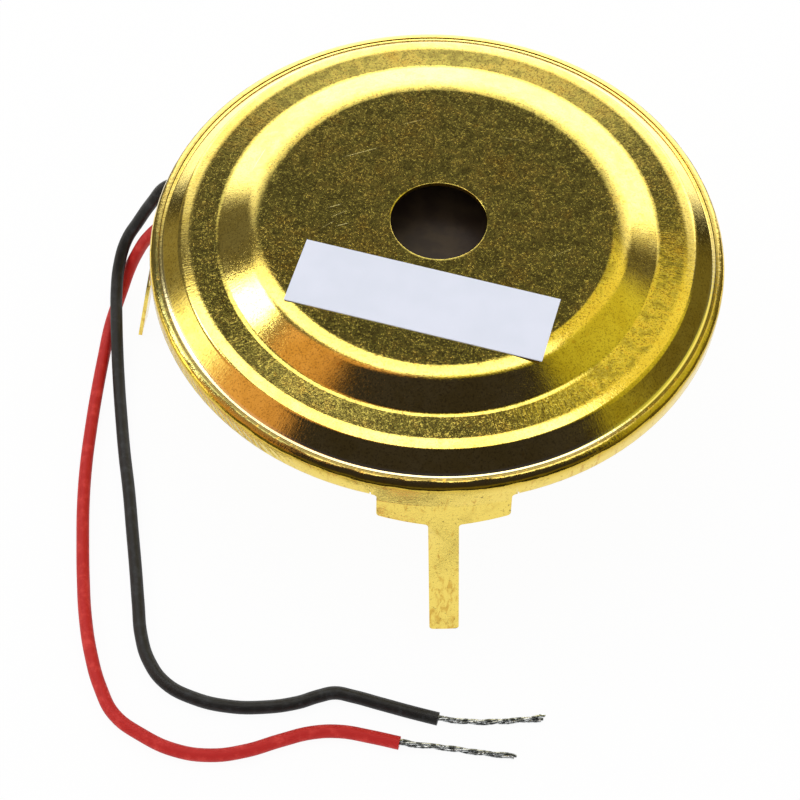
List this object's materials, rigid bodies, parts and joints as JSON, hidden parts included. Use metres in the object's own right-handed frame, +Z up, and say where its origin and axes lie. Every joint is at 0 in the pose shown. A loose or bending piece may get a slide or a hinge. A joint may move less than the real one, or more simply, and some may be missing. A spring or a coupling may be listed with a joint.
{
  "type": "piezo buzzer",
  "caption": "Round piezo buzzer: a stepped brass case with a sound hole, crimped in a rim band on T-shaped legs, with red and black stripped leads.",
  "frame": {"origin": "on the axis of the disc, in the plane of the three leg tips", "axes": "+Z up, out through the sound hole; -Y towards the front leg; +X to the right"},
  "size_m": [0.057, 0.0654, 0.022],
  "materials": {
    "cover_brass": "pressed sheet brass, satin with a fine grain, dull on the flats",
    "band_brass": "pressed sheet brass, brushed and slightly stained",
    "inner_brass": "thin satin sheet",
    "base_brass": "pressed sheet brass, satin",
    "piezo_ceramic": "fired ceramic with a silver electrode",
    "solder": "bright solder",
    "tinned_copper": "tinned strands, twisted",
    "black_insulation": "soft black insulation",
    "red_insulation": "soft red insulation",
    "label_paper": "smooth white label, bare"
  },
  "bodies": {
    "root": {"cover": "cover_brass", "rim_band": "band_brass", "diaphragm": "inner_brass", "ceramic_disc": "piezo_ceramic", "base_cup": "base_brass", "black_solder": "solder", "red_solder": "solder", "black_lead": "black_insulation", "red_lead": "red_insulation", "black_strands": "tinned_copper", "red_strands": "tinned_copper", "label": "label_paper"}
  },
  "joints": []
}
